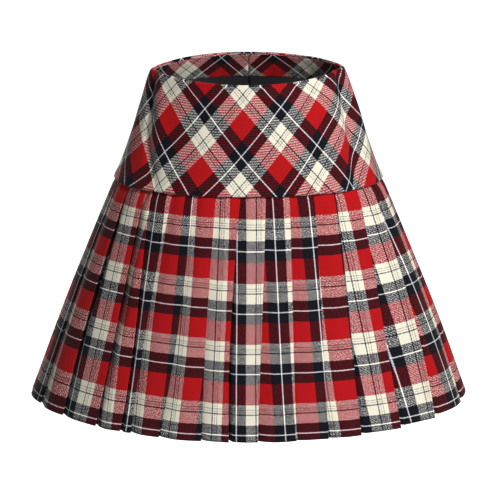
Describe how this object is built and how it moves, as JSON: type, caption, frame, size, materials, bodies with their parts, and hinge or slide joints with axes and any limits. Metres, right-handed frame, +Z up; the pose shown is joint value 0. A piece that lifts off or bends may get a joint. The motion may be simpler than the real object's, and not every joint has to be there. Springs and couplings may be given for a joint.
{
  "type": "pleated mini skirt",
  "caption": "Short skirt with a smooth bias-cut hip yoke and knife pleats all round, open at the waist and the hem.",
  "frame": {"origin": "centre of the waist opening, in the plane of its rim", "axes": "+Z up out of the waist, -Y the wearer's front, +X to the right of someone who looks at the front"},
  "size_m": [0.5258, 0.338, 0.409],
  "materials": {
    "tartan_twill": "matt twill weave in a red, cream and navy check",
    "lining_cloth": "plain black lining with a slight sheen"
  },
  "bodies": {
    "root": {"front_yoke": "tartan_twill", "back_yoke": "tartan_twill", "waist_casing": "tartan_twill", "yoke_lining": "lining_cloth", "front_pleats": "tartan_twill", "back_pleats": "tartan_twill"}
  },
  "joints": []
}
